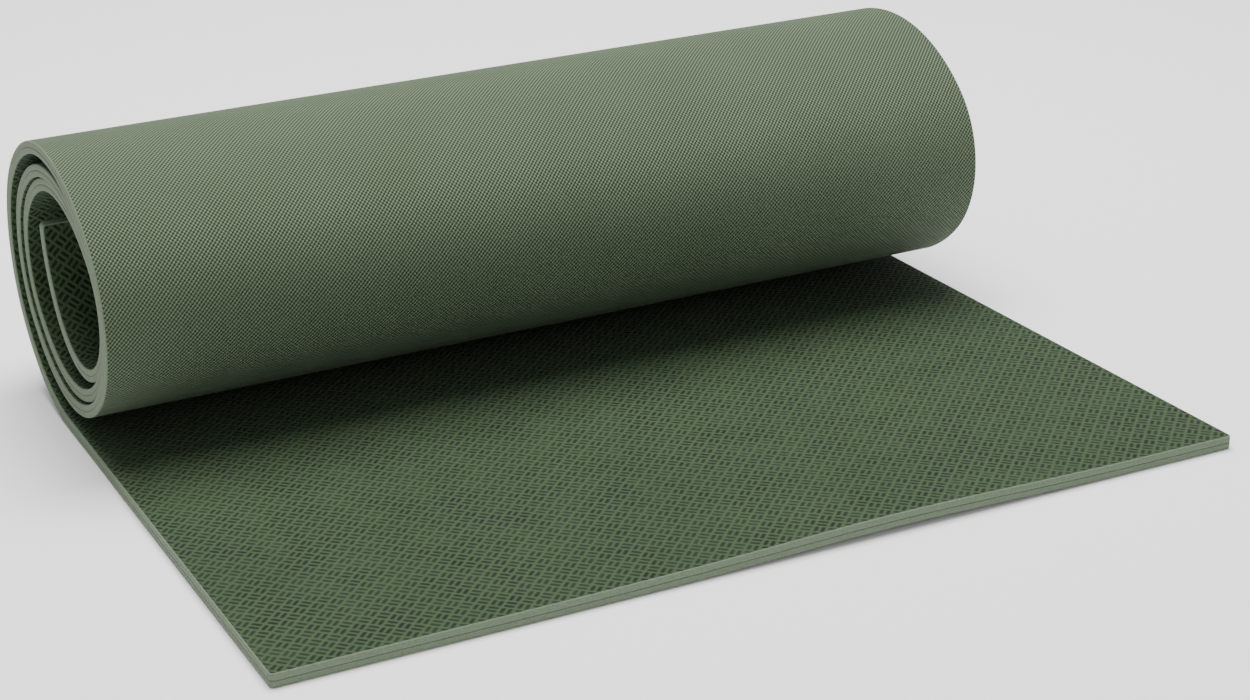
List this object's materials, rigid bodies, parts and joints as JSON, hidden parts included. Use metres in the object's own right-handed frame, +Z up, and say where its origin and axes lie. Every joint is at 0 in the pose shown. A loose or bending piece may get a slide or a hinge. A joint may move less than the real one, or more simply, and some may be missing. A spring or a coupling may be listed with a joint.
{
  "type": "foam sleeping pad",
  "caption": "Green closed-cell foam sleeping pad, partly unrolled: an embossed ply bonded to a finely hatched one.",
  "frame": {"origin": "on the floor, under the middle of the box around the pad as it lies half unrolled", "axes": "+X along the roll and the pad's width, +Y back from the free front edge towards the roll, +Z up"},
  "size_m": [0.6053, 0.4814, 0.1827],
  "materials": {
    "upper_ply_front": "matte foam",
    "lower_ply_front": "matte foam",
    "upper_ply_band_01": "matte foam",
    "lower_ply_band_01": "matte foam",
    "upper_ply_band_02": "matte foam",
    "lower_ply_band_02": "matte foam",
    "upper_ply_band_03": "matte foam",
    "lower_ply_band_03": "matte foam",
    "upper_ply_band_04": "matte foam",
    "lower_ply_band_04": "matte foam",
    "upper_ply_band_05": "matte foam",
    "lower_ply_band_05": "matte foam",
    "upper_ply_band_06": "matte foam",
    "lower_ply_band_06": "matte foam",
    "upper_ply_band_07": "matte foam",
    "lower_ply_band_07": "matte foam",
    "upper_ply_band_08": "matte foam",
    "lower_ply_band_08": "matte foam",
    "upper_ply_band_09": "matte foam",
    "lower_ply_band_09": "matte foam",
    "upper_ply_band_10": "matte foam",
    "lower_ply_band_10": "matte foam",
    "upper_ply_band_11": "matte foam",
    "lower_ply_band_11": "matte foam",
    "upper_ply_band_12": "matte foam",
    "lower_ply_band_12": "matte foam",
    "upper_ply_band_13": "matte foam",
    "lower_ply_band_13": "matte foam",
    "upper_ply_band_14": "matte foam",
    "lower_ply_band_14": "matte foam",
    "upper_ply_inner_roll": "matte foam",
    "lower_ply_inner_roll": "matte foam"
  },
  "bodies": {
    "front": {"upper_ply_front": "upper_ply_front", "lower_ply_front": "lower_ply_front"},
    "band_01": {"upper_ply_band_01": "upper_ply_band_01", "lower_ply_band_01": "lower_ply_band_01"},
    "band_02": {"upper_ply_band_02": "upper_ply_band_02", "lower_ply_band_02": "lower_ply_band_02"},
    "band_03": {"upper_ply_band_03": "upper_ply_band_03", "lower_ply_band_03": "lower_ply_band_03"},
    "band_04": {"upper_ply_band_04": "upper_ply_band_04", "lower_ply_band_04": "lower_ply_band_04"},
    "band_05": {"upper_ply_band_05": "upper_ply_band_05", "lower_ply_band_05": "lower_ply_band_05"},
    "band_06": {"upper_ply_band_06": "upper_ply_band_06", "lower_ply_band_06": "lower_ply_band_06"},
    "band_07": {"upper_ply_band_07": "upper_ply_band_07", "lower_ply_band_07": "lower_ply_band_07"},
    "band_08": {"upper_ply_band_08": "upper_ply_band_08", "lower_ply_band_08": "lower_ply_band_08"},
    "band_09": {"upper_ply_band_09": "upper_ply_band_09", "lower_ply_band_09": "lower_ply_band_09"},
    "band_10": {"upper_ply_band_10": "upper_ply_band_10", "lower_ply_band_10": "lower_ply_band_10"},
    "band_11": {"upper_ply_band_11": "upper_ply_band_11", "lower_ply_band_11": "lower_ply_band_11"},
    "band_12": {"upper_ply_band_12": "upper_ply_band_12", "lower_ply_band_12": "lower_ply_band_12"},
    "band_13": {"upper_ply_band_13": "upper_ply_band_13", "lower_ply_band_13": "lower_ply_band_13"},
    "band_14": {"upper_ply_band_14": "upper_ply_band_14", "lower_ply_band_14": "lower_ply_band_14"},
    "inner_roll": {"upper_ply_inner_roll": "upper_ply_inner_roll", "lower_ply_inner_roll": "lower_ply_inner_roll"}
  },
  "joints": [
    {"name": "unroll", "type": "hinge", "parent": "front", "child": "band_01", "pos_m": [-0.00261, 0.14968, 0.00581], "axis": [-1, -0.0044, 0], "range_deg": [0, 19.74]},
    {"name": "hinge_02", "type": "hinge", "parent": "band_01", "child": "band_02", "pos_m": [-0.0026, 0.18808, 0.01959], "axis": [-1, -0.0044, 0], "range_deg": [0, 19.74]},
    {"name": "hinge_03", "type": "hinge", "parent": "band_02", "child": "band_03", "pos_m": [-0.00256, 0.21942, 0.04566], "axis": [-1, -0.0044, 0], "range_deg": [0, 28.08]},
    {"name": "hinge_04", "type": "hinge", "parent": "band_03", "child": "band_04", "pos_m": [-0.00245, 0.23487, 0.08309], "axis": [-1, -0.0044, 0], "range_deg": [0, 31.32]},
    {"name": "hinge_05", "type": "hinge", "parent": "band_04", "child": "band_05", "pos_m": [-0.00224, 0.22862, 0.1231], "axis": [-1, -0.0044, 0], "range_deg": [0, 31.32]},
    {"name": "hinge_06", "type": "hinge", "parent": "band_05", "child": "band_06", "pos_m": [-0.00195, 0.20277, 0.15438], "axis": [-1, -0.0044, 0], "range_deg": [0, 22.09]},
    {"name": "hinge_07", "type": "hinge", "parent": "band_06", "child": "band_07", "pos_m": [-0.00161, 0.16666, 0.17334], "axis": [-1, -0.0044, 0], "range_deg": [0, 20.43]},
    {"name": "hinge_08", "type": "hinge", "parent": "band_07", "child": "band_08", "pos_m": [-0.00126, 0.12621, 0.1785], "axis": [-1, -0.0044, 0], "range_deg": [0, 20.43]},
    {"name": "hinge_09", "type": "hinge", "parent": "band_08", "child": "band_09", "pos_m": [-0.0009, 0.0865, 0.16922], "axis": [-1, -0.0044, 0], "range_deg": [0, 20.43]},
    {"name": "hinge_10", "type": "hinge", "parent": "band_09", "child": "band_10", "pos_m": [-0.00058, 0.05252, 0.14666], "axis": [-1, -0.0044, 0], "range_deg": [0, 27.12]},
    {"name": "hinge_11", "type": "hinge", "parent": "band_10", "child": "band_11", "pos_m": [-0.00031, 0.03279, 0.11146], "axis": [-1, -0.0044, 0], "range_deg": [0, 35.59]},
    {"name": "hinge_12", "type": "hinge", "parent": "band_11", "child": "band_12", "pos_m": [-0.00015, 0.03722, 0.07136], "axis": [-1, -0.0044, 0], "range_deg": [0, 35.59]},
    {"name": "hinge_13", "type": "hinge", "parent": "band_12", "child": "band_13", "pos_m": [-0.00009, 0.06364, 0.04065], "axis": [-1, -0.0044, 0], "range_deg": [0, 22.78]},
    {"name": "hinge_14", "type": "hinge", "parent": "band_13", "child": "band_14", "pos_m": [-0.00007, 0.10048, 0.02321], "axis": [-1, -0.0044, 0], "range_deg": [0, 21.55]},
    {"name": "hinge_inner_roll", "type": "hinge", "parent": "band_14", "child": "inner_roll", "pos_m": [-0.00007, 0.14115, 0.02052], "axis": [-1, -0.0044, 0], "range_deg": [0, 21.55]}
  ],
  "couplings": [
    {"joint": "hinge_02", "follows": "unroll", "ratio": 1},
    {"joint": "hinge_03", "follows": "unroll", "ratio": 1.4227},
    {"joint": "hinge_04", "follows": "unroll", "ratio": 1.5867},
    {"joint": "hinge_05", "follows": "unroll", "ratio": 1.5867},
    {"joint": "hinge_06", "follows": "unroll", "ratio": 1.1192},
    {"joint": "hinge_07", "follows": "unroll", "ratio": 1.0348},
    {"joint": "hinge_08", "follows": "unroll", "ratio": 1.0348},
    {"joint": "hinge_09", "follows": "unroll", "ratio": 1.0348},
    {"joint": "hinge_10", "follows": "unroll", "ratio": 1.3737},
    {"joint": "hinge_11", "follows": "unroll", "ratio": 1.803},
    {"joint": "hinge_12", "follows": "unroll", "ratio": 1.803},
    {"joint": "hinge_13", "follows": "unroll", "ratio": 1.154},
    {"joint": "hinge_14", "follows": "unroll", "ratio": 1.0917},
    {"joint": "hinge_inner_roll", "follows": "unroll", "ratio": 1.0917}
  ]
}
